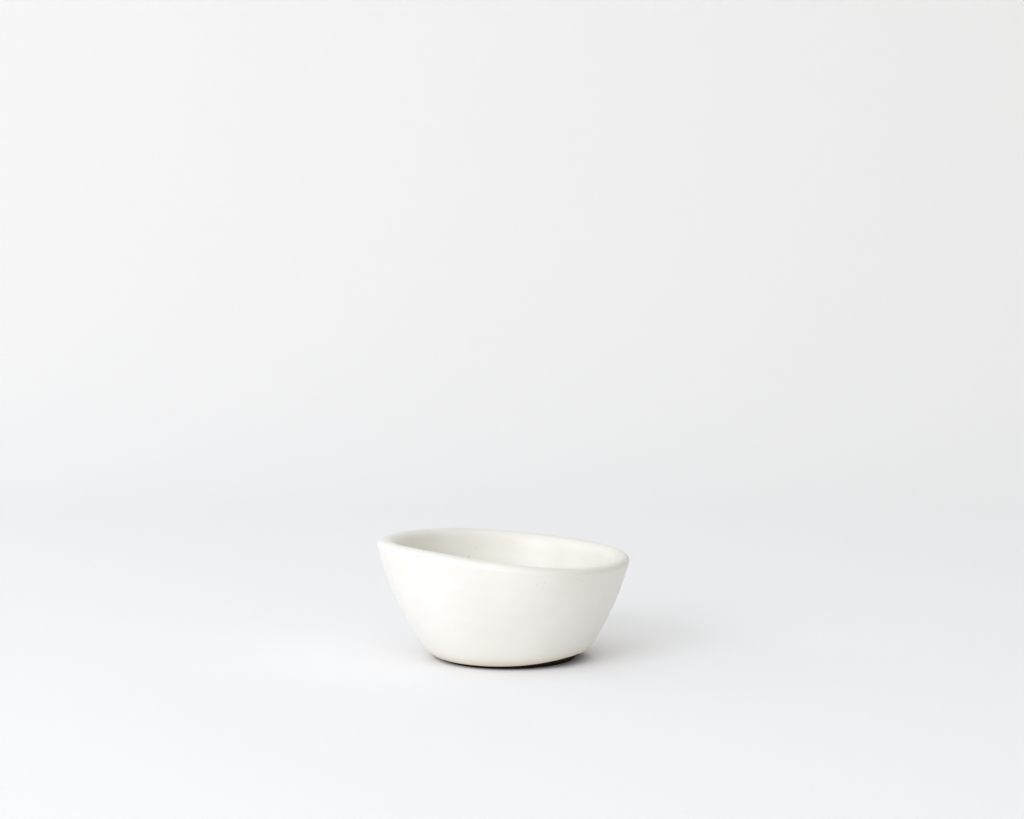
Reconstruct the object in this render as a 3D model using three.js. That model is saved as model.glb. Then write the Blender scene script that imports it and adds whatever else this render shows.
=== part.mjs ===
// A small hand-made stoneware ramekin: a conical bowl with a swelling wall, a thick rounded lip cut
// on a slant, and a low bare foot set in under the wall. The fired clay body carries two coats of
// cream glaze: the liner, poured inside and rolled over the lip, and the outer coat, which starts
// where the liner ends and stops at the underside, so that the foot stays bare.
// Millimetres, +Z up. The origin is the middle of the foot, on the table. The rim is high at -X.
import * as THREE from "three";

// Foot
const FOOT_RADIUS = 25.5; // flat face that stands on the table
const FOOT_FLARE = 0.5; // how much wider the foot is where it meets the underside
const FOOT_HEIGHT = 0.65; // table to the lower end of the outer coat

// Outer wall of the glazed pot
const WALL_OVERHANG = 2.95; // the wall carried down to the table passes this far outside the foot
const BASE_RADIUS = FOOT_RADIUS + WALL_OVERHANG;
const RIM_RADIUS = 47.5; // the wall carried up to the rim's mean height
const WALL_BOW = 2.5; // swell of the wall out of a straight cone, half way up
const LOWER_EDGE_RADIUS = 14.0; // rounding where the wall turns under
const BARE_MARGIN = 0.3; // bare clay between the foot and the end of the outer coat

// Rim
const RIM_HEIGHT = 41.3; // crest of the lip above the table, the mean round the rim
const RIM_SLANT = 6.9; // fall of the crest from the high side to the low side
const RIM_TWIST = 0.6; // hand-cut wave of the crest that comes twice round the rim
const RIM_SWAY = 0.45; // hand-cut wave of the crest that comes three times round the rim
const RIM_SHIFT = -0.8; // the rim's middle lies this far along X from the foot's
const LIP_WIDTH = 2.7; // outer wall to crest
const LIP_RISE = 2.6; // end of the outer wall up to the crest
const LIP_DROP = 3.2; // crest down to the start of the inner wall
const LIP_FULLNESS = 0.62; // roundness of the lip: a straight bevel at 0, square at 1

// Inside of the glazed pot
const WALL_AT_RIM = 6.8; // wall thickness, measured level, at the rim
const WALL_AT_TABLE = 6.0; // the same, carried down to the table
const FLOOR_HEIGHT = 7.0; // inside floor above the table
const FLOOR_ROUNDING = 10.0; // rounding between the floor and the inner wall

// Glaze
const GLAZE_THICKNESS = 0.5;
const COAT_GAP = 0.1; // hairline between the coats, and between a coat and the clay
const CLAY_DEPTH = GLAZE_THICKNESS + COAT_GAP;

// Facets
const TURN_STEPS = 48; // round the pot
const WALL_STEPS = 6; // up the outer wall, and down the inner wall
const ROUNDING_STEPS = 4; // along each rounding
const SETTLING_PASSES = 8; // enough for a rounding to find where it meets the wall

// Finishes
const CLAY_FINISH = { color: 0x352c22, roughness: 0.9, metalness: 0.0 };
const GLAZE_FINISH = { color: 0xefece5, roughness: 0.22, metalness: 0.0 };

// Radius of the outer wall at a height: a straight cone plus a parabola that vanishes at both ends.
function outerRadius(height) {
  const share = height / RIM_HEIGHT;
  const cone = THREE.MathUtils.lerp(BASE_RADIUS, RIM_RADIUS, share);
  return cone + 4 * WALL_BOW * share * (1 - share);
}

function outerSlope(height) {
  const share = height / RIM_HEIGHT;
  return (RIM_RADIUS - BASE_RADIUS + 4 * WALL_BOW * (1 - 2 * share)) / RIM_HEIGHT;
}

function innerRadius(height) {
  const wall = THREE.MathUtils.lerp(WALL_AT_TABLE, WALL_AT_RIM, height / RIM_HEIGHT);
  return outerRadius(height) - wall;
}

function innerSlope(height) {
  return outerSlope(height) - (WALL_AT_RIM - WALL_AT_TABLE) / RIM_HEIGHT;
}

// Height at which a rounding that touches a level line meets a wall of the given slope.
function roundingTop(level, radius, slope) {
  let height = level;
  for (let pass = 0; pass < SETTLING_PASSES; pass += 1) {
    height = level + radius * (1 - Math.sin(Math.atan(slope(height))));
  }
  return height;
}

// A rounding's arc, with its centre above the level line, from its lowest point up to the wall. An arc
// that may not reach in as far as its lowest point starts at the inner end instead.
function roundingArc(level, radius, wallRadius, slope, innerEnd = 0) {
  const top = roundingTop(level, radius, slope);
  const lean = Math.atan(slope(top));
  const middle = new THREE.Vector2(wallRadius(top) - radius * Math.cos(lean), level + radius);
  const start = Math.asin(Math.max(0, innerEnd - middle.x) / radius) - Math.PI / 2;
  const arc = new THREE.EllipseCurve(middle.x, middle.y, radius, radius, start, -lean);
  return { arc, top };
}

// The level line of a rounding whose arc passes through a point inside the wall.
function levelThrough(point, radius, wallRadius, slope) {
  let level = point.y;
  for (let pass = 0; pass < SETTLING_PASSES; pass += 1) {
    const top = roundingTop(level, radius, slope);
    const middle = wallRadius(top) - radius * Math.cos(Math.atan(slope(top)));
    level = point.y - radius + Math.sqrt(radius ** 2 - (point.x - middle) ** 2);
  }
  return level;
}

// Both walls are parabolas, so one quadratic curve follows each exactly.
function wallCurve(from, to, wallRadius, slope) {
  const half = (to - from) / 2;
  return new THREE.QuadraticBezierCurve(
    new THREE.Vector2(wallRadius(from), from),
    new THREE.Vector2(wallRadius(from) + slope(from) * half, from + half),
    new THREE.Vector2(wallRadius(to), to),
  );
}

// A quarter rounding of the lip, from the crest, where it is level, to the end of a wall.
function lipCurve(crest, end, slope) {
  const drop = crest.y - end.y;
  return new THREE.CubicBezierCurve(
    crest,
    new THREE.Vector2(THREE.MathUtils.lerp(crest.x, end.x, LIP_FULLNESS), crest.y),
    new THREE.Vector2(end.x + slope * drop * LIP_FULLNESS, end.y + drop * LIP_FULLNESS),
    end,
  );
}

// Points along a curve, each with the direction out of the pot, which is to the right of the path.
function stations(curve, steps, backwards = false) {
  const made = [];
  for (let step = 0; step <= steps; step += 1) {
    const share = backwards ? 1 - step / steps : step / steps;
    const along = curve.getTangent(share).multiplyScalar(backwards ? -1 : 1);
    made.push({ point: curve.getPoint(share), out: new THREE.Vector2(along.y, -along.x) });
  }
  return made;
}

// The glazed section from the underside, up the outer wall, over the lip and down to the floor's middle.
const wallTop = RIM_HEIGHT - LIP_RISE;
const crest = new THREE.Vector2(outerRadius(wallTop) - LIP_WIDTH, RIM_HEIGHT);
const innerTop = RIM_HEIGHT - LIP_DROP;
const coatEnd = new THREE.Vector2(FOOT_RADIUS + FOOT_FLARE + BARE_MARGIN, FOOT_HEIGHT);
const lowerEdge = roundingArc(
  levelThrough(coatEnd, LOWER_EDGE_RADIUS, outerRadius, outerSlope),
  LOWER_EDGE_RADIUS,
  outerRadius,
  outerSlope,
  coatEnd.x,
);
const floorEdge = roundingArc(FLOOR_HEIGHT, FLOOR_ROUNDING, innerRadius, innerSlope);
const outerWall = wallCurve(lowerEdge.top, wallTop - COAT_GAP, outerRadius, outerSlope);
const innerWall = wallCurve(floorEdge.top, innerTop, innerRadius, innerSlope);
const lipOutside = lipCurve(
  crest,
  new THREE.Vector2(outerRadius(wallTop), wallTop),
  outerSlope(wallTop),
);
const lipInside = lipCurve(
  crest,
  new THREE.Vector2(innerRadius(innerTop), innerTop),
  innerSlope(innerTop),
);
const floorMiddle = {
  point: new THREE.Vector2(0, FLOOR_HEIGHT),
  out: new THREE.Vector2(0, 1),
};
const outerCoat = [
  ...stations(lowerEdge.arc, ROUNDING_STEPS),
  ...stations(outerWall, WALL_STEPS).slice(1),
];
const linerCoat = [
  ...stations(lipOutside, ROUNDING_STEPS, true),
  ...stations(lipInside, ROUNDING_STEPS).slice(1),
  ...stations(innerWall, WALL_STEPS, true).slice(1),
  ...stations(floorEdge.arc, ROUNDING_STEPS, true).slice(1),
  floorMiddle,
];

// The same stations, moved into the pot by a depth.
function sunk(coat, depth) {
  return coat.map(({ point, out }) => point.clone().addScaledVector(out, -depth));
}

// How far the crest stands above its mean height, by the angle round the pot.
function rimLift(angle) {
  const slant = (-RIM_SLANT / 2) * Math.cos(angle);
  return slant + RIM_TWIST * Math.sin(2 * angle) + RIM_SWAY * Math.cos(3 * angle);
}

// Slides each point along the wall's own surface to the hand-cut rim: the lip moves whole, the floor
// and the foot stay, and the wall between is drawn out or in. The middle then leans to the rim's.
function cutRim(geometry) {
  const position = geometry.getAttribute("position");
  const lipStart = Math.min(wallTop, innerTop) - CLAY_DEPTH;
  for (let index = 0; index < position.count; index += 1) {
    const angle = Math.atan2(position.getY(index), position.getX(index));
    const radius = Math.hypot(position.getX(index), position.getY(index));
    const height = position.getZ(index);
    const share = THREE.MathUtils.smoothstep(height, FLOOR_HEIGHT, lipStart);
    const cut = height + rimLift(angle) * share;
    const slid = radius + outerRadius(cut) - outerRadius(height);
    const lean = (RIM_SHIFT * cut) / RIM_HEIGHT;
    position.setXYZ(index, slid * Math.cos(angle) + lean, slid * Math.sin(angle), cut);
  }
  geometry.computeVertexNormals();
}

// A named piece: its profile turned round the upright axis, then cut to the slanted rim.
function turnedPiece(name, profile, finish) {
  const geometry = new THREE.LatheGeometry(profile, TURN_STEPS);
  geometry.rotateX(Math.PI / 2);
  cutRim(geometry);
  const piece = new THREE.Mesh(geometry, new THREE.MeshStandardMaterial(finish));
  piece.name = name;
  return piece;
}

function clayBody() {
  const outside = sunk(outerCoat, CLAY_DEPTH);
  const profile = [
    new THREE.Vector2(0, 0),
    new THREE.Vector2(FOOT_RADIUS, 0),
    new THREE.Vector2(FOOT_RADIUS + FOOT_FLARE, outside[0].y),
    ...outside,
    ...sunk(linerCoat, CLAY_DEPTH),
  ];
  return turnedPiece("clay_body", profile, CLAY_FINISH);
}

function linerGlaze() {
  const profile = [...sunk(linerCoat, GLAZE_THICKNESS).reverse(), ...sunk(linerCoat, 0)];
  return turnedPiece("liner_glaze", profile, GLAZE_FINISH);
}

function outerGlaze() {
  const profile = [...sunk(outerCoat, 0), ...sunk(outerCoat, GLAZE_THICKNESS).reverse()];
  profile.push(profile[0].clone());
  return turnedPiece("outer_glaze", profile, GLAZE_FINISH);
}

const ramekin = new THREE.Group();
ramekin.add(clayBody(), linerGlaze(), outerGlaze());

export default ramekin;
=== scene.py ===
"""A hand-made stoneware ramekin: the looks of its clay body and of its two glaze coats.

Lengths are in millimetres and become metres where a mesh, a lamp or the camera is made. X is to the
right in the photograph, Y away from its camera and Z up; the origin is the middle of the foot, on
the table. Angles round the pot start at +X and run anticlockwise from above, in radians unless said.
"""
import math

import bpy
import numpy as np
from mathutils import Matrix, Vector


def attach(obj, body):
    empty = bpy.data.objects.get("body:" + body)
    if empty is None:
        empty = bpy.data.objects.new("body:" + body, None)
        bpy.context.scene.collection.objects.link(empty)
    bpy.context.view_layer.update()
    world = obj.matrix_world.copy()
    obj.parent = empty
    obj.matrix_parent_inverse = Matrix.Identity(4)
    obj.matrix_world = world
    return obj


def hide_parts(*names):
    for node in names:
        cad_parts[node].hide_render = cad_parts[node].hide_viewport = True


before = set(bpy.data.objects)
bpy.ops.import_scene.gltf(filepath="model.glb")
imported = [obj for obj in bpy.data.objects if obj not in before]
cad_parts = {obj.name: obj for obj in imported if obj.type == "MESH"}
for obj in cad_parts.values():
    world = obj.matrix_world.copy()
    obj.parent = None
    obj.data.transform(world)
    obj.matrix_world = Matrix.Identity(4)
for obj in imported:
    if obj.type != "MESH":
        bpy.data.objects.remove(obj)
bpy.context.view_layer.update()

MM = 0.001  # metres

# Foot and outer wall, as in the frame
FOOT_RADIUS = 25.5
FOOT_FLARE = 0.5
FOOT_HEIGHT = 0.65
WALL_OVERHANG = 2.95
BASE_RADIUS = FOOT_RADIUS + WALL_OVERHANG
RIM_RADIUS = 47.5
WALL_BOW = 2.5
LOWER_EDGE_RADIUS = 14.0
BARE_MARGIN = 0.3
COAT_END = FOOT_RADIUS + FOOT_FLARE + BARE_MARGIN

# Rim, as in the frame
RIM_HEIGHT = 41.3
RIM_SLANT = 6.9
RIM_TWIST = 0.6
RIM_SWAY = 0.45
RIM_SHIFT = -0.8
LIP_WIDTH = 2.7
LIP_RISE = 2.6
LIP_DROP = 3.2
LIP_FULLNESS = 0.62

# Inside, as in the frame
WALL_AT_RIM = 6.8
WALL_AT_TABLE = 6.0
FLOOR_HEIGHT = 7.0
FLOOR_ROUNDING = 10.0

# Glaze coats: their thickness and the hairline behind them, as in the frame
GLAZE_THICKNESS = 0.5
COAT_GAP = 0.1
CLAY_DEPTH = GLAZE_THICKNESS + COAT_GAP

# Ends of the coats
LAP_LENGTH = 0.45  # how far the liner runs down over the outer coat
LAP_BEAD = 0.07  # how proud the liner stands where it laps
LAP_SINK = 0.1  # how deep the liner's end dips under the outer coat's face
BEAD_FADE = 1.3  # the bead dies away over this much of the lip
WIPED_LEAST = 1.2  # how much further out than in the frame the outer coat ends where it was wiped least
WIPED_MOST = 4.6  # the same, where it was wiped most
WIPED_MIDDLE = -0.45  # angle round the pot of that place
WIPED_NARROWNESS = 4.2  # how quickly the coat gets whole again on both sides of it

# Thin glaze, from 0 where a coat is thick to 1 where it is thinnest; on the liner lip's outer flank the same
# scale carries painted shade
THIN_RISE = 3.6  # the outer coat is thin up to this far above its lower end
EDGE_THINNESS = 0.6
CREST_BREAK = 0.9  # the liner is thin within about this far of the crest
CREST_THINNESS = 0.15
PAINTED_SHADE_STRENGTH = 0.4  # painted shade on the liner lip's outer flank, darkest at the right end, which faces away from the lamps
PAINTED_SHADE_MIDDLE = -0.25  # angle round the pot of that place
PAINTED_SHADE_NARROWNESS = 4.0  # how quickly the painted shade fades on both sides of it
FLANK_START = LIP_RISE / 3  # the flank's painted shade sets in over this much above the outer coat
FLANK_END = 0.7  # and ends this far below the crest

# Marks left by the hand
THROWING_DEPTH = 0.035  # spiral ridges on both walls
THROWING_PITCH = 5.2
SWELL_DEPTH = 0.09  # slow unevenness of both walls
SWELL_WAVES = 3  # times that it comes round the pot
SWELL_TWIST = 9.0  # climb in which these waves shift round the pot by a radian
SWELL_LENGTH = 11.0  # climb in which the waves up the wall go through a radian
SWELL_SWAY = 2.0  # how far these shift from side to side of the pot, in radians
MARKS_START = 5.0  # height at which the marks on the walls begin
MARKS_WHOLE = 15.0  # height from which they are whole
MARKS_FADE = 6.4  # they fade out over this much of the wall below the lip
LIP_EASE = 0.2  # the lip's outside is drawn in by this much
EASE_FADE = 12.8  # and the wall below it less and less, over this height
CREST_SHARE = 0.1  # and the crest by this share of it
TRIM_DEPTH = 0.05  # rings cut into the foot's face by the trimming tool
TRIM_PITCH = 2.6
FOOT_ROUNDING = 0.5
POLE_RADIUS = 0.6  # the last ring before a closed middle

# Mesh fineness
TURN_STEPS = 320  # round the pot
OUTER_FACE_STEPS = (14, 64)  # round the lower edge, up the wall
OUTER_BACK_STEPS = (14, 20)
ROLL_STEPS = 9  # round the outer coat's lower end
LIP_STEPS = 17  # each quarter of the lip
LINER_FACE_STEPS = (LIP_STEPS, 48, 21)  # a quarter of the lip, the wall, the floor's rounding and its flat
LINER_BACK_STEPS = (5, 16, 7)
LAP_STEPS = 11
FOOT_FACE_STEPS = 80
FOOT_EDGE_STEPS = 8  # round the foot's edge, and up its flank
BEND_STEPS = 48  # round the paper's bend
SETTLING_PASSES = 8  # enough for a rounding to find where it meets the wall

WALL_TOP = RIM_HEIGHT - LIP_RISE
INNER_TOP = RIM_HEIGHT - LIP_DROP
LIP_START = min(WALL_TOP, INNER_TOP) - CLAY_DEPTH
ALL_ROUND = np.linspace(0, 2 * np.pi, TURN_STEPS, endpoint=False)[None, :]

# Colours of glaze, clay and paper; a pair is blended by soft noise
OUTER_CREAMS = (0.81, 0.79, 0.727, 1), (0.85, 0.834, 0.777, 1)
LINER_CREAMS = (0.83, 0.806, 0.745, 1), (0.87, 0.850, 0.795, 1)
THIN_BUFF = (0.87, 0.745, 0.50, 1)  # thin glaze above the foot
CREST_BUFF_AND_SHADE = (0.60, 0.56, 0.44, 1)  # thin glaze on the crest, and painted shade on the lip's right outer flank
IRON_BROWN = (0.42, 0.31, 0.10, 1)
OCHRE = (0.70, 0.62, 0.29, 1)
YELLOW = (0.86, 0.80, 0.42, 1)
CLAY_BROWNS = (0.014, 0.010, 0.007, 1), (0.022, 0.016, 0.010, 1)
GROG_BROWN = (0.010, 0.008, 0.006, 1)
PAPER_WHITES = (0.905, 0.905, 0.91, 1), (0.925, 0.925, 0.93, 1)

# Iron specks seen in the photograph: the angle round the pot in degrees, the height before the rim is
# cut, the radius, the strength and the colour
OUTER_SPECKS = [
    (-75.6, 34.85, 0.48, 0.22, IRON_BROWN),
    (-72.0, 36.20, 0.50, 0.13, IRON_BROWN),
    (-52.9, 36.70, 0.50, 0.17, IRON_BROWN),
    (-58.3, 33.53, 0.50, 0.25, YELLOW),
    (-127.8, 19.90, 0.50, 0.25, YELLOW),
    (-118.8, 14.84, 0.60, 0.65, YELLOW),
    (-82.7, 30.86, 0.24, 0.12, IRON_BROWN),
    (-44.0, 21.56, 0.30, 0.14, IRON_BROWN),
]
LINER_SPECKS = [
    (112.4, 30.92, 0.72, 0.70, OCHRE),
    (107.1, 33.94, 0.90, 0.22, OCHRE),
]

# Scattered specks: the spacing of the points they lie round, their radius and the share that is kept
FAINT_SPECKS = {"Spacing": 5.0, "Radius": 0.4, "Share": 0.3}
FAINT_STRENGTH = 0.5
GROG_SPECKS = {"Spacing": 1.2, "Radius": 0.35, "Share": 0.5}
SPECK_SIZES = (0.4, 1.2)  # least and most of the radius
BACK_HALF = (-6.0, 6.0)  # Y over which the outside's scattered specks set in
LOW_PART = (28.0, 24.0)  # height over which the liner's set in, from above

# Surface textures: scales are per millimetre, and a spread is where a mask starts and where it is whole
CLOUD_SCALE = 0.045
CLOUD_SPREAD = (0.3, 0.7)
GRAIN_SCALE = 0.7
GRAIN_SPREAD = (0.25, 0.75)
RIPPLE_SCALE = 0.22
GRIT_SCALE = 2.2
RAGGED_SCALE = 3.0
RAGGED_SPREAD = (1.5, 0.8)
ROUND_SPREAD = (1.0, 0.4)
TOOTH_SCALE = 1.5
PATCHY_SPREAD = (0.2, 0.8)
PATCHY_THINNESS = (0.7, 1.0)  # least and most of the glaze's thinness, by its grain
GLAZE_RELIEF, GLAZE_GRIT = 0.03, 0.015  # depth of the ripples, and the grit's share of them
CLAY_RELIEF, CLAY_GRIT = 0.12, 0.8
PAPER_RELIEF = 0.02
GLAZE_ROUGHNESS = (0.30, 0.36)
CLAY_ROUGHNESS = (0.8, 0.95)
PAPER_ROUGHNESS = 0.9
DRY_SHINE = 0.2  # specular level of bare clay and of paper

# Studio: the paper sweep, the lamps and the light of the room
PAPER_REACH = 4000.0  # to both sides, and towards the camera
PAPER_TOP = 3000.0
PAPER_DROP = 0.02  # how far the paper lies below the foot
BEND_START = 450.0  # behind the pot
BEND_RADIUS = 700.0
LAMP_DISTANCE = 1400.0
KEY_TINT = (0.955, 0.98, 1.11)
SIDE_TINT = (1, 1, 0.98)
LIGHT_FROM_ABOVE = (1.03, 1.07, 1.10)
LIGHT_FROM_FRONT = (1.01, 0.95, 0.845)
LOBE_NARROWNESS = 2.0  # power of the cosine in each lobe of the room's light
GREY_SEEN = (0.86, 0.86, 0.865, 1)  # what the camera sees past the paper

# Camera, from a fit to the bowl's edges in the photograph
PHOTO_WIDTH_PIXELS = 1024.0
FOCAL_LENGTH_PIXELS = 2000.0
SENSOR_WIDTH = 36.0
CAMERA_PLACE = (1.68, -738.8, 146.2)
CAMERA_DIP = 0.073  # radians below level


def outer_radius(height):
    """The outer wall's radius: a straight cone plus a parabola that vanishes at the table and at the rim."""
    share = height / RIM_HEIGHT
    return BASE_RADIUS + (RIM_RADIUS - BASE_RADIUS) * share + 4 * WALL_BOW * share * (1 - share)


def outer_slope(height):
    """How fast the outer radius grows with height."""
    return (RIM_RADIUS - BASE_RADIUS + 4 * WALL_BOW * (1 - 2 * height / RIM_HEIGHT)) / RIM_HEIGHT


def inner_radius(height):
    """The inner wall's radius: the outer one less a wall that thickens evenly from the table to the rim."""
    return outer_radius(height) - (WALL_AT_TABLE + (WALL_AT_RIM - WALL_AT_TABLE) * height / RIM_HEIGHT)


def inner_slope(height):
    """How fast the inner radius grows with height."""
    return outer_slope(height) - (WALL_AT_RIM - WALL_AT_TABLE) / RIM_HEIGHT


def smooth_step(low, high, value):
    """0 below low, 1 above high, and a cubic ease between them."""
    share = np.clip((value - low) / (high - low), 0, 1)
    return share * share * (3 - 2 * share)


def bell(angle, middle, narrowness):
    """A bell curve round the pot: 1 at the middle angle, and falling with the cosine of the way from it."""
    return np.exp(narrowness * (np.cos(angle - middle) - 1))


def rounding(level, radius, radius_of, slope_of, inner_end=0.0):
    """A rounding that touches a level line and a wall: its middle, its end angles and its top height.

    Its top is where the arc leans as the wall does: the level plus the radius times one less the sine
    of the lean. It starts at its lowest point, or at the inner end if that lies further out.
    """
    top = level
    for _ in range(SETTLING_PASSES):
        top = level + radius * (1 - math.sin(math.atan(slope_of(top))))
    lean = math.atan(slope_of(top))
    middle = (radius_of(top) - radius * math.cos(lean), level + radius)
    start = math.asin(max(0.0, inner_end - middle[0]) / radius) - math.pi / 2
    return middle, start, -lean, top


def lower_edge(coat_end):
    """The outer wall's lower rounding, from a radius up; its arc passes through the frame's coat end.

    The level it touches is settled by steps, with the circle's equation at that end.
    """
    level = FOOT_HEIGHT
    for _ in range(SETTLING_PASSES):
        middle = rounding(level, LOWER_EDGE_RADIUS, outer_radius, outer_slope)[0]
        below_middle = math.sqrt(LOWER_EDGE_RADIUS ** 2 - (COAT_END - middle[0]) ** 2)
        level = FOOT_HEIGHT - LOWER_EDGE_RADIUS + below_middle
    return rounding(level, LOWER_EDGE_RADIUS, outer_radius, outer_slope, coat_end)


def section(points, along):
    """Stations (radius, height) with the direction out of the pot, which is to the right of the path."""
    along = along / np.linalg.norm(along, axis=1, keepdims=True)
    return np.hstack([points, along[:, 1:], -along[:, :1]])


def arc_section(middle, radius, start, end, count):
    """Stations on a circle's arc: its middle plus the radius times the cosine and sine of an angle."""
    angle = np.linspace(start, end, count)
    points = np.stack([middle[0] + radius * np.cos(angle), middle[1] + radius * np.sin(angle)], 1)
    turn = math.copysign(1, end - start)
    return section(points, turn * np.stack([-np.sin(angle), np.cos(angle)], 1))


def wall_section(radius_of, slope_of, height, way=1):
    """Stations at some heights of a wall, on a path that goes up it, or down it if the way is -1."""
    points = np.stack([radius_of(height), height], 1)
    return section(points, way * np.stack([slope_of(height), np.ones(len(height))], 1))


def line_section(start, end, count):
    """Stations on a straight line between two points."""
    points = np.linspace(start, end, count)
    return section(points, np.broadcast_to(np.subtract(end, start), points.shape))


def lip_section(crest, end, slope, count, upwards):
    """Stations on a quarter of the lip: a cubic that is level at the crest and ends along a wall."""
    drop = crest[1] - end[1]
    corners = np.array([crest,
                        (crest[0] + (end[0] - crest[0]) * LIP_FULLNESS, crest[1]),
                        (end[0] + slope * drop * LIP_FULLNESS, end[1] + drop * LIP_FULLNESS),
                        end])
    t = np.linspace(0, 1, count)[:, None]
    weights = np.hstack([(1 - t) ** 3, 3 * t * (1 - t) ** 2, 3 * t ** 2 * (1 - t), t ** 3])
    rates = np.hstack([(1 - t) ** 2, 2 * t * (1 - t), t ** 2])
    points, along = weights @ corners, rates @ np.diff(corners, axis=0)
    return section(points[::-1], -along[::-1]) if upwards else section(points, along)


def outer_coat_section(edge_steps, wall_steps, coat_end=COAT_END):
    """The outer coat's face, from the underside round the lower edge and up to the end of the wall."""
    middle, start, end, top = lower_edge(coat_end)
    return np.vstack([
        arc_section(middle, LOWER_EDGE_RADIUS, start, end, edge_steps),
        wall_section(outer_radius, outer_slope, np.linspace(top, WALL_TOP, wall_steps))[1:],
    ])


def liner_coat_section(lip_steps, wall_steps, floor_steps):
    """The liner's face, from the end of the outer wall over the lip and down to the floor's middle."""
    crest = (outer_radius(WALL_TOP) - LIP_WIDTH, RIM_HEIGHT)
    outside_end = (outer_radius(WALL_TOP), WALL_TOP)
    inside_end = (inner_radius(INNER_TOP), INNER_TOP)
    middle, start, end, top = rounding(FLOOR_HEIGHT, FLOOR_ROUNDING, inner_radius, inner_slope)
    return np.vstack([
        lip_section(crest, outside_end, outer_slope(WALL_TOP), lip_steps, True),
        lip_section(crest, inside_end, inner_slope(INNER_TOP), lip_steps, False)[1:],
        wall_section(inner_radius, inner_slope, np.linspace(INNER_TOP, top, wall_steps), -1)[1:],
        arc_section(middle, FLOOR_ROUNDING, end, start, floor_steps)[1:],
        line_section((middle[0], FLOOR_HEIGHT), (POLE_RADIUS, FLOOR_HEIGHT), floor_steps)[1:],
    ])


def rim_lift(angle):
    """How far the crest stands above its mean height, by the angle round the pot.

    It is a slant across X plus two hand-cut waves, which come twice and three times round.
    """
    return (-RIM_SLANT / 2 * np.cos(angle) + RIM_TWIST * np.sin(2 * angle)
            + RIM_SWAY * np.cos(3 * angle))


def hand_marks(height, angle):
    """Unevenness of a thrown wall: a fine spiral ridge and a slow swell, both fading out at foot and lip.

    The spiral is a sine of the height plus the angle. The swell is a wave round the pot times a wave
    up the wall. Both only take away, so the wall stays inside its plain shape.
    """
    fade = smooth_step(MARKS_START, MARKS_WHOLE, height)
    fade = fade * (1 - smooth_step(LIP_START - MARKS_FADE, LIP_START, height))
    spiral = np.sin(2 * np.pi * height / THROWING_PITCH + angle)
    round_pot = np.sin(SWELL_WAVES * angle + height / SWELL_TWIST)
    up_wall = np.sin(height / SWELL_LENGTH + SWELL_SWAY * np.sin(angle))
    return fade * (THROWING_DEPTH * (spiral - 1) + SWELL_DEPTH * (round_pot * up_wall - 1))


def turned(stations, out_by=0.0, angle=ALL_ROUND):
    """A section turned round the upright axis and cut to the hand-cut rim, as a grid of points.

    Each station moves out by its own amount, slides along the wall's surface to the rim's height at
    its angle, less and less towards the floor, and leans with the rim's middle.
    """
    radius, height, out_r, out_z = stations.T[..., None]
    eased = LIP_EASE * smooth_step(LIP_START - EASE_FADE, LIP_START, height)
    rise = hand_marks(height, angle) + out_by - eased * np.maximum(out_r, CREST_SHARE)
    radius = radius + out_r * rise
    height = height + out_z * rise
    cut = height + rim_lift(angle) * smooth_step(FLOOR_HEIGHT, LIP_START, height)
    slid = radius + outer_radius(cut) - outer_radius(height)
    lean = RIM_SHIFT * cut / RIM_HEIGHT
    return np.stack([slid * np.cos(angle) + lean, slid * np.sin(angle), cut], -1)


def speck_places(specks, radius_of, slope_of, way):
    """The middle of each speck on a wall, with its radius, its strength and its colour."""
    angle, height, radius, strength, colour = zip(*specks)
    stations = wall_section(radius_of, slope_of, np.array(height), way)
    middles = turned(stations, 0.0, np.radians(angle)[:, None])[:, 0]
    return zip(middles.tolist(), radius, strength, colour)


def ring_faces(rows, wraps):
    """Quads between neighbouring rings, each closed on itself; the last ring joins the first if it wraps."""
    row = np.arange(rows if wraps else rows - 1)[:, None]
    column = np.arange(TURN_STEPS)[None, :]
    above, beside = (row + 1) % rows, (column + 1) % TURN_STEPS
    corners = [row * TURN_STEPS + column, row * TURN_STEPS + beside,
               above * TURN_STEPS + beside, above * TURN_STEPS + column]
    return np.stack(corners, -1).reshape(-1, 4)


def cap_faces(ring, middle, is_first):
    """A fan of triangles from a ring to its middle point."""
    column = ring * TURN_STEPS + np.arange(TURN_STEPS)
    beside = ring * TURN_STEPS + (np.arange(TURN_STEPS) + 1) % TURN_STEPS
    tip = np.full(TURN_STEPS, middle)
    return np.stack([beside, column, tip] if is_first else [column, beside, tip], -1)


def placed(name, data):
    """An object that carries a mesh, a lamp or a camera, put into the scene."""
    item = bpy.data.objects.new(name, data)
    bpy.context.scene.collection.objects.link(item)
    return item


def smooth_mesh(name, points, faces, material):
    """A smoothly shaded mesh of one material, from points in millimetres."""
    mesh = bpy.data.meshes.new(name)
    mesh.from_pydata((points * MM).tolist(), [], faces)
    mesh.shade_smooth()
    mesh.materials.append(material)
    return mesh


def pot_piece(name, grid, thinness_and_shade, material, node, wraps=False):
    """Makes a closed turned piece that stands for a node: rings of quads, capped at both ends or wrapped.

    Thinness has one value for each point, or for each ring: how thin the glaze is there, from 0 to 1; on the
    liner lip's outer flank it also carries painted shade.
    """
    rows = len(grid)
    points = grid.reshape(-1, 3)
    thinness_and_shade = np.broadcast_to(thinness_and_shade, (rows, TURN_STEPS))
    thin = thinness_and_shade.ravel()
    faces = ring_faces(rows, wraps).tolist()
    if not wraps:
        first = len(points)
        points = np.vstack([points, grid[0].mean(0), grid[-1].mean(0)])
        thin = np.append(thin, [thinness_and_shade[0, 0], thinness_and_shade[-1, 0]])
        faces += cap_faces(0, first, True).tolist() + cap_faces(rows - 1, first + 1, False).tolist()
    mesh = smooth_mesh(name, points, faces, material)
    mesh.attributes.new("thinness_and_shade", "FLOAT", "POINT").data.foreach_set("value", thin)
    piece = placed(name, mesh)
    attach(piece, "root")
    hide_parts(node)


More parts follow.
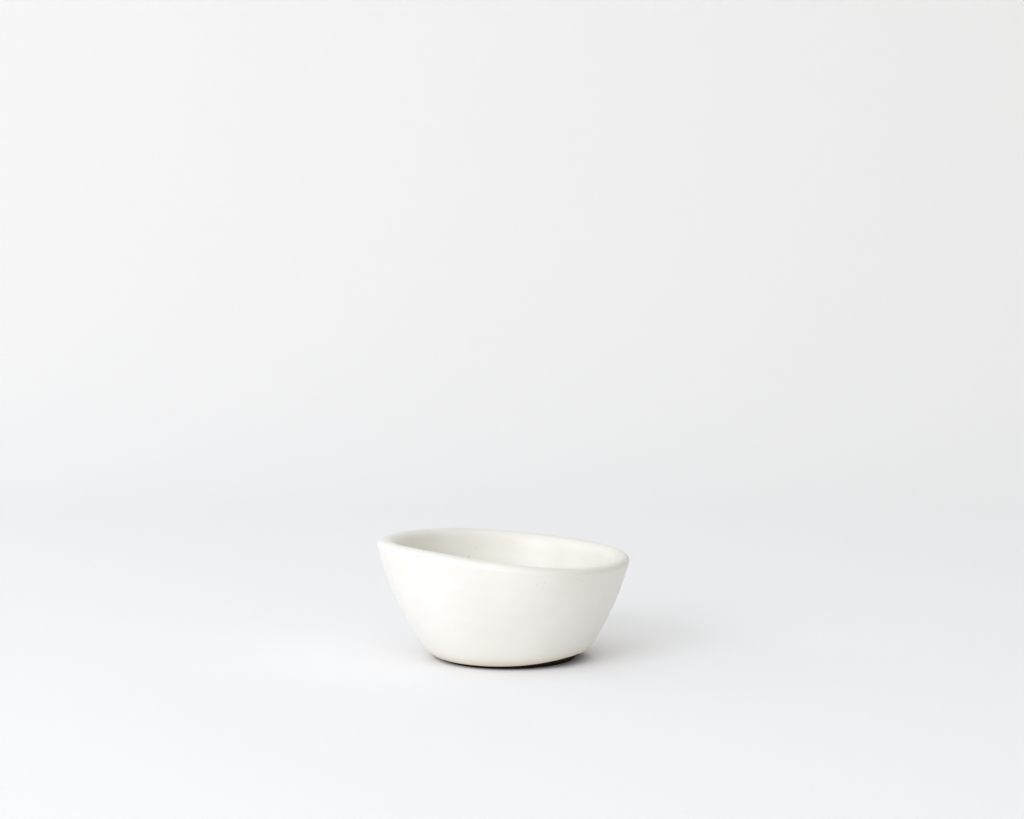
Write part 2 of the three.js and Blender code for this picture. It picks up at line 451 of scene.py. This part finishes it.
def outer_coat_grid(coat_end):
    """The outer coat's closed section, turned: a half-round roll at its lower end, its face and its back."""
    face = outer_coat_section(*OUTER_FACE_STEPS, coat_end)
    back = outer_coat_section(*OUTER_BACK_STEPS, coat_end)[::-1]
    half = GLAZE_THICKNESS / 2
    facing = math.atan2(face[0, 3], face[0, 2])
    middle = face[0, :2] - half * face[0, 2:]
    roll = arc_section(middle, half, facing - math.pi, facing, ROLL_STEPS)[1:-1]
    return np.vstack([turned(roll), turned(face), turned(back, -GLAZE_THICKNESS)])


def outer_glaze_coat(material):
    """The outer coat as a closed shell, whose lower end lies further out where it was wiped off the foot.

    The shell is a blend of the least and of the most wiped coat, by a bell curve round the pot.
    """
    wiped = bell(ALL_ROUND, WIPED_MIDDLE, WIPED_NARROWNESS)[..., None]
    least, most = outer_coat_grid(COAT_END + WIPED_LEAST), outer_coat_grid(COAT_END + WIPED_MOST)
    grid = least * (1 - wiped) + most * wiped
    above_end = grid[..., 2] - grid[..., 2].min(0)
    thinness_and_shade = EDGE_THINNESS * (1 - smooth_step(0, THIN_RISE, above_end))
    pot_piece("outer_glaze_coat", grid, thinness_and_shade, material, "outer_glaze", wraps=True)


def liner_glaze_coat(material):
    """The liner as a closed shell: its back, the lap over the outer coat, the lip and the inside.

    The lap rises from under the outer coat's face to a soft bead, which dies away up the lip. The glaze
    is thin along the crest, by a bell curve of the depth below it. Shade is painted on the lip's outer
    flank, most at the right end, by a bell curve round the pot.
    """
    back = liner_coat_section(*LINER_BACK_STEPS)[::-1]
    lap_heights = np.linspace(WALL_TOP - LAP_LENGTH, WALL_TOP, LAP_STEPS)
    lap = wall_section(outer_radius, outer_slope, lap_heights)[:-1]
    face = liner_coat_section(*LINER_FACE_STEPS)
    outside = np.arange(len(face)) < LIP_STEPS
    height = face[:, 1]
    above_lap = height - WALL_TOP
    lap_rise = -LAP_SINK + (LAP_SINK + LAP_BEAD) * smooth_step(0, LAP_LENGTH, lap[:, 1] - lap[0, 1])
    bead = np.where(outside, LAP_BEAD * (1 - smooth_step(0, BEAD_FADE, above_lap)), 0)
    grid = np.vstack([
        turned(back, -GLAZE_THICKNESS),
        turned(lap, lap_rise[:, None]),
        turned(face, bead[:, None]),
    ])
    broken = CREST_THINNESS * np.exp(-((RIM_HEIGHT - height) / CREST_BREAK) ** 2)
    # painted shade: the lip's outer flank is tinted towards the olive crest colour, most at the right end
    flank = np.where(outside, smooth_step(0, FLANK_START, above_lap), 0)
    flank = flank * (1 - smooth_step(LIP_RISE - FLANK_END, LIP_RISE, above_lap))
    painted_shade = PAINTED_SHADE_STRENGTH * bell(ALL_ROUND, PAINTED_SHADE_MIDDLE, PAINTED_SHADE_NARROWNESS)
    thinness_and_shade = np.vstack([
        np.zeros((len(back) + len(lap), TURN_STEPS)),
        broken[:, None] + flank[:, None] * painted_shade,
    ])
    pot_piece("liner_glaze_coat", grid, thinness_and_shade, material, "liner_glaze")


def bare_clay_body(material):
    """The clay pot: the foot's face, its rounded edge and flank, and the clay behind both coats.

    The trimming rings on the face are the square of a sine of the way in from its edge.
    """
    face_end = FOOT_RADIUS - FOOT_ROUNDING
    rings = line_section((POLE_RADIUS, 0), (face_end, 0), FOOT_FACE_STEPS)
    rings[:, 1] = TRIM_DEPTH * np.sin(np.pi * (face_end - rings[:, 0]) / TRIM_PITCH) ** 2
    edge_middle = (face_end, FOOT_ROUNDING)
    edge = arc_section(edge_middle, FOOT_ROUNDING, -math.pi / 2, 0, FOOT_EDGE_STEPS)[1:]
    behind = np.vstack([outer_coat_section(*OUTER_BACK_STEPS), liner_coat_section(*LINER_BACK_STEPS)])
    underside = behind[0, 1] - CLAY_DEPTH * behind[0, 3]
    flank = line_section(edge[-1, :2], (FOOT_RADIUS + FOOT_FLARE, underside), FOOT_EDGE_STEPS)[1:]
    grid = np.vstack([turned(rings), turned(edge), turned(flank), turned(behind, -CLAY_DEPTH)])
    pot_piece("bare_clay_body", grid, 0.0, material, "clay_body")


class Nodes:
    """Adds nodes to one tree; an input is a value or the output of another node."""

    def __init__(self, tree):
        self.tree = tree

    def add(self, kind, inputs, **options):
        """A node with its options set and its inputs filled."""
        node = self.tree.nodes.new(kind)
        for name, value in options.items():
            setattr(node, name, value)
        self.fill(node, inputs)
        return node

    def fill(self, node, inputs):
        """Links each input to an output, or sets it to a value."""
        for name, value in inputs.items():
            if isinstance(value, bpy.types.NodeSocket):
                self.tree.links.new(value, node.inputs[name])
            else:
                node.inputs[name].default_value = value

    def math(self, operation, first, second):
        """One calculation on two numbers."""
        return self.add("ShaderNodeMath", {0: first, 1: second}, operation=operation).outputs[0]

    def ramp(self, value, spread, ends=(0.0, 1.0)):
        """A smooth step between two ends, as the value goes from one end of its spread to the other."""
        inputs = {"Value": value, "From Min": spread[0], "From Max": spread[1],
                  "To Min": ends[0], "To Max": ends[1]}
        return self.add("ShaderNodeMapRange", inputs, interpolation_type="SMOOTHSTEP").outputs["Result"]

    def blend(self, share, first, second):
        """A colour between two colours."""
        return self.add("ShaderNodeMix", {0: share, 6: first, 7: second}, data_type="RGBA").outputs[2]

    def noise(self, position, scale, detail):
        """Soft noise from 0 to 1."""
        inputs = {"Vector": position, "Scale": scale, "Detail": detail}
        return self.add("ShaderNodeTexNoise", inputs).outputs["Fac"]

    def cells(self, position, scale):
        """Scattered points: the distance to the nearest, and that point's own random colour."""
        node = self.add("ShaderNodeTexVoronoi", {"Vector": position, "Scale": scale})
        return node.outputs["Distance"], node.outputs["Color"]

    def part(self, vector, axis):
        """One of a vector's three parts."""
        return self.add("ShaderNodeSeparateXYZ", {"Vector": vector}).outputs[axis]

    def scaled(self, vector, scale):
        """A vector times a number."""
        return self.add("ShaderNodeVectorMath", {0: vector, "Scale": scale}, operation="SCALE").outputs[0]

    def place(self):
        """The place on the piece, in millimetres."""
        return self.scaled(self.add("ShaderNodeTexCoord", {}).outputs["Object"], 1 / MM)

    def bump(self, height, depth):
        """A normal tilted by a height, whose unit stands for a depth in millimetres."""
        inputs = {"Height": height, "Distance": depth * MM, "Strength": 1.0}
        return self.add("ShaderNodeBump", inputs).outputs["Normal"]

    def group(self, tree, inputs):
        """A shared effect with its own inputs; gives its outputs."""
        node = self.tree.nodes.new("ShaderNodeGroup")
        node.node_tree = tree
        self.fill(node, inputs)
        return node.outputs


def effect(name, places, numbers, gives):
    """An empty shared effect: its tree, its nodes, its input sockets and its output node.

    It takes places on the piece and numbers, and gives masks or values.
    """
    tree = bpy.data.node_groups.new(name, "ShaderNodeTree")
    for label in places:
        tree.interface.new_socket(label, in_out="INPUT", socket_type="NodeSocketVector")
    for label in numbers:
        tree.interface.new_socket(label, in_out="INPUT", socket_type="NodeSocketFloat")
    for label in gives:
        tree.interface.new_socket(label, in_out="OUTPUT", socket_type="NodeSocketFloat")
    nodes = Nodes(tree)
    return tree, nodes, nodes.add("NodeGroupInput", {}).outputs, nodes.add("NodeGroupOutput", {})


def clouds_effect():
    """Soft clouds a few centimetres across, and a fine grain, both from 0 to 1."""
    tree, nodes, takes, gives = effect("glaze_clouds", ["Place"], [], ["Cloud", "Grain"])
    nodes.fill(gives, {
        "Cloud": nodes.ramp(nodes.noise(takes["Place"], CLOUD_SCALE, detail=3.0), CLOUD_SPREAD),
        "Grain": nodes.noise(takes["Place"], GRAIN_SCALE, detail=2.0),
    })
    return tree


def ripple_effect():
    """The height of a fired surface: soft ripples plus a share of fine grit."""
    tree, nodes, takes, gives = effect("fired_ripple", ["Place"], ["Grit Share"], ["Height"])
    ripple = nodes.noise(takes["Place"], RIPPLE_SCALE, detail=1.0)
    grit = nodes.math("MULTIPLY", nodes.noise(takes["Place"], GRIT_SCALE, detail=3.0), takes["Grit Share"])
    nodes.fill(gives, {"Height": nodes.math("ADD", ripple, grit)})
    return tree


def speck_effect():
    """One speck: a round spot about its middle, with an edge that noise makes slightly ragged."""
    tree, nodes, takes, gives = effect("iron_speck", ["Place", "Middle"], ["Radius", "Strength"], ["Mask"])
    reach = nodes.add("ShaderNodeVectorMath", {0: takes["Place"], 1: takes["Middle"]}, operation="DISTANCE")
    ragged = nodes.math("MULTIPLY", nodes.noise(takes["Place"], RAGGED_SCALE, detail=1.0), takes["Radius"])
    share = nodes.math("DIVIDE", nodes.math("ADD", reach.outputs["Value"], ragged), takes["Radius"])
    nodes.fill(gives, {"Mask": nodes.math("MULTIPLY", nodes.ramp(share, RAGGED_SPREAD), takes["Strength"])})
    return tree


def scatter_effect():
    """Many specks: spots of several sizes round scattered points, of which only a share is kept."""
    takes = ["Spacing", "Radius", "Share"]
    tree, nodes, takes, gives = effect("scattered_specks", ["Place"], takes, ["Mask"])
    reach, chance = nodes.cells(takes["Place"], nodes.math("DIVIDE", 1.0, takes["Spacing"]))
    odds = nodes.add("ShaderNodeSeparateColor", {"Color": chance}).outputs
    size = nodes.math("MULTIPLY", takes["Radius"], nodes.ramp(odds["Green"], (0.0, 1.0), SPECK_SIZES))
    share = nodes.math("DIVIDE", nodes.math("MULTIPLY", reach, takes["Spacing"]), size)
    kept = nodes.math("LESS_THAN", odds["Red"], takes["Share"])
    nodes.fill(gives, {"Mask": nodes.math("MULTIPLY", nodes.ramp(share, ROUND_SPREAD), kept)})
    return tree


def new_material(name):
    """A new material: its nodes, its shader and the place on the piece."""
    material = bpy.data.materials.new(name)
    material.use_nodes = True
    nodes = Nodes(material.node_tree)
    return material, nodes, material.node_tree.nodes["Principled BSDF"], nodes.place()


def glaze(name, effects, creams, thin_and_shade_colour, specks, scatter_area):
    """Cream glaze: clouded cream, warmer where it is thin and darkened where shade is painted, with iron
    specks and a softly rippled gloss.

    The scatter area is a function that masks where scattered specks lie besides the listed ones.
    """
    material, nodes, shader, place = new_material(name)
    clouds = nodes.group(effects["clouds"], {"Place": place})
    cream = nodes.blend(clouds["Cloud"], *creams)
    # the attribute holds thin glaze and, on the liner lip's outer flank, painted shade
    thinness_and_shade = nodes.add("ShaderNodeAttribute", {}, attribute_name="thinness_and_shade").outputs["Fac"]
    patchy = nodes.math("MULTIPLY", thinness_and_shade, nodes.ramp(clouds["Grain"], PATCHY_SPREAD, PATCHY_THINNESS))
    coat = nodes.blend(patchy, cream, thin_and_shade_colour)
    scattered = nodes.group(effects["scatter"], {"Place": place, **FAINT_SPECKS})
    faint = nodes.math("MULTIPLY", scattered["Mask"], FAINT_STRENGTH)
    coat = nodes.blend(nodes.math("MULTIPLY", faint, scatter_area(nodes, place)), coat, IRON_BROWN)
    for middle, radius, strength, colour in specks:
        speck = {"Place": place, "Middle": middle, "Radius": radius, "Strength": strength}
        coat = nodes.blend(nodes.group(effects["speck"], speck)["Mask"], coat, colour)
    ripple = nodes.group(effects["ripple"], {"Place": place, "Grit Share": GLAZE_GRIT})
    nodes.fill(shader, {
        "Base Color": coat,
        "Roughness": nodes.ramp(clouds["Grain"], GRAIN_SPREAD, GLAZE_ROUGHNESS),
        "Normal": nodes.bump(ripple["Height"], GLAZE_RELIEF),
    })
    return material


def behind_outside(nodes, place):
    """Where scattered specks lie on the outside: from the sides round to the back."""
    return nodes.ramp(nodes.part(place, "Y"), BACK_HALF)


def low_inside(nodes, place):
    """Where scattered specks lie in the liner: in the lower half of the bowl and on its floor."""
    return nodes.ramp(nodes.part(place, "Z"), LOW_PART)


def bare_stoneware(effects):
    """Bare fired clay: brown, mottled, dry and gritty."""
    material, nodes, shader, place = new_material("bare_stoneware")
    clouds = nodes.group(effects["clouds"], {"Place": place})
    grog = nodes.group(effects["scatter"], {"Place": place, **GROG_SPECKS})
    ripple = nodes.group(effects["ripple"], {"Place": place, "Grit Share": CLAY_GRIT})
    nodes.fill(shader, {
        "Base Color": nodes.blend(grog["Mask"], nodes.blend(clouds["Cloud"], *CLAY_BROWNS), GROG_BROWN),
        "Roughness": nodes.ramp(clouds["Grain"], GRAIN_SPREAD, CLAY_ROUGHNESS),
        "Specular IOR Level": DRY_SHINE,
        "Normal": nodes.bump(ripple["Height"], CLAY_RELIEF),
    })
    return material


def paper():
    """Matt white studio paper with a faint tooth."""
    material, nodes, shader, place = new_material("studio_paper")
    tooth = nodes.noise(place, TOOTH_SCALE, detail=2.0)
    nodes.fill(shader, {
        "Base Color": nodes.blend(tooth, *PAPER_WHITES),
        "Roughness": PAPER_ROUGHNESS,
        "Specular IOR Level": DRY_SHINE,
        "Normal": nodes.bump(tooth, PAPER_RELIEF),
    })
    return material


def paper_sweep(material):
    """The studio's paper: a level floor, a quarter circle and an upright backdrop, carried along X."""
    angle = np.linspace(0, math.pi / 2, BEND_STEPS)
    bend = np.stack([BEND_START + BEND_RADIUS * np.sin(angle), BEND_RADIUS * (1 - np.cos(angle))], 1)
    front, top = (-PAPER_REACH, 0), (BEND_START + BEND_RADIUS, PAPER_TOP)
    profile = np.vstack([[front], bend, [top]]) - (0, PAPER_DROP)
    x, y = np.broadcast_arrays(np.array([[-PAPER_REACH, PAPER_REACH]]), profile[:, :1])
    z = np.broadcast_to(profile[:, 1:], x.shape)
    row = 2 * np.arange(len(profile) - 1)
    faces = np.stack([row, row + 1, row + 3, row + 2], 1)
    points = np.stack([x, y, z], -1).reshape(-1, 3)
    sweep = placed("paper_sweep", smooth_mesh("paper_sweep", points, faces.tolist(), material))


def softbox(name, left_of_camera, above_table, width, height, power, tint):
    """An oblong soft light of a power in watts and a tint, which faces the pot.

    It is placed by two angles in degrees, at the lamps' distance from the foot.
    """
    turn, rise = math.radians(left_of_camera), math.radians(above_table)
    away = Vector((-math.sin(turn) * math.cos(rise), -math.cos(turn) * math.cos(rise), math.sin(rise)))
    data = bpy.data.lights.new(name, "AREA")
    data.shape = "RECTANGLE"
    data.size, data.size_y = width * MM, height * MM
    data.energy, data.color = power, tint
    light = placed(name, data)
    light.location = away * LAMP_DISTANCE * MM
    light.rotation_euler = (-away).to_track_quat("-Z", "Y").to_euler()


def studio_air(lobes, seen):
    """Soft light from the room: a sum of broad tinted lobes along axes; the camera sees a plain colour.

    A lobe is the cosine of the way from its axis, to a power, and nothing on the axis's other side.
    """
    world = bpy.data.worlds.new("studio_air")
    world.use_nodes = True
    nodes = Nodes(world.node_tree)
    way = nodes.add("ShaderNodeTexCoord", {}).outputs["Generated"]
    light = (0, 0, 0)
    for axis, side, tint in lobes:
        facing = nodes.math("MAXIMUM", nodes.math("MULTIPLY", nodes.part(way, axis), side), 0.0)
        lobe = nodes.scaled(tint, nodes.math("POWER", facing, LOBE_NARROWNESS))
        light = nodes.add("ShaderNodeVectorMath", {0: light, 1: lobe}, operation="ADD").outputs[0]
    by_eye = nodes.add("ShaderNodeLightPath", {}).outputs["Is Camera Ray"]
    nodes.fill(world.node_tree.nodes["Background"], {"Color": nodes.blend(by_eye, light, seen)})
    bpy.context.scene.world = world


def photo_view():
    """The photograph's camera: the lens is to its sensor as the focal length is to the picture's width."""
    data = bpy.data.cameras.new("photo_view")
    data.sensor_width = SENSOR_WIDTH
    data.lens = SENSOR_WIDTH * FOCAL_LENGTH_PIXELS / PHOTO_WIDTH_PIXELS
    camera = placed("photo_view", data)
    camera.location = Vector(CAMERA_PLACE) * MM
    camera.rotation_euler = (math.pi / 2 - CAMERA_DIP, 0, 0)
    bpy.context.scene.camera = camera


bpy.context.scene.view_settings.view_transform = "Standard"
effects = {
    "clouds": clouds_effect(),
    "ripple": ripple_effect(),
    "speck": speck_effect(),
    "scatter": scatter_effect(),
}
outer_specks = speck_places(OUTER_SPECKS, outer_radius, outer_slope, 1)
liner_specks = speck_places(LINER_SPECKS, inner_radius, inner_slope, -1)
bare_clay_body(bare_stoneware(effects))
outer_glaze_coat(glaze("outer_glaze", effects, OUTER_CREAMS, THIN_BUFF, outer_specks, behind_outside))
liner_glaze_coat(glaze("liner_glaze", effects, LINER_CREAMS, CREST_BUFF_AND_SHADE, liner_specks, low_inside))
paper_sweep(paper())
softbox("key_softbox", left_of_camera=36, above_table=23, width=900, height=1000, power=9.5, tint=KEY_TINT)
softbox("side_softbox", left_of_camera=95, above_table=18, width=900, height=900, power=3.2, tint=SIDE_TINT)
studio_air([("Z", 1, LIGHT_FROM_ABOVE), ("Y", -1, LIGHT_FROM_FRONT)], GREY_SEEN)
photo_view()
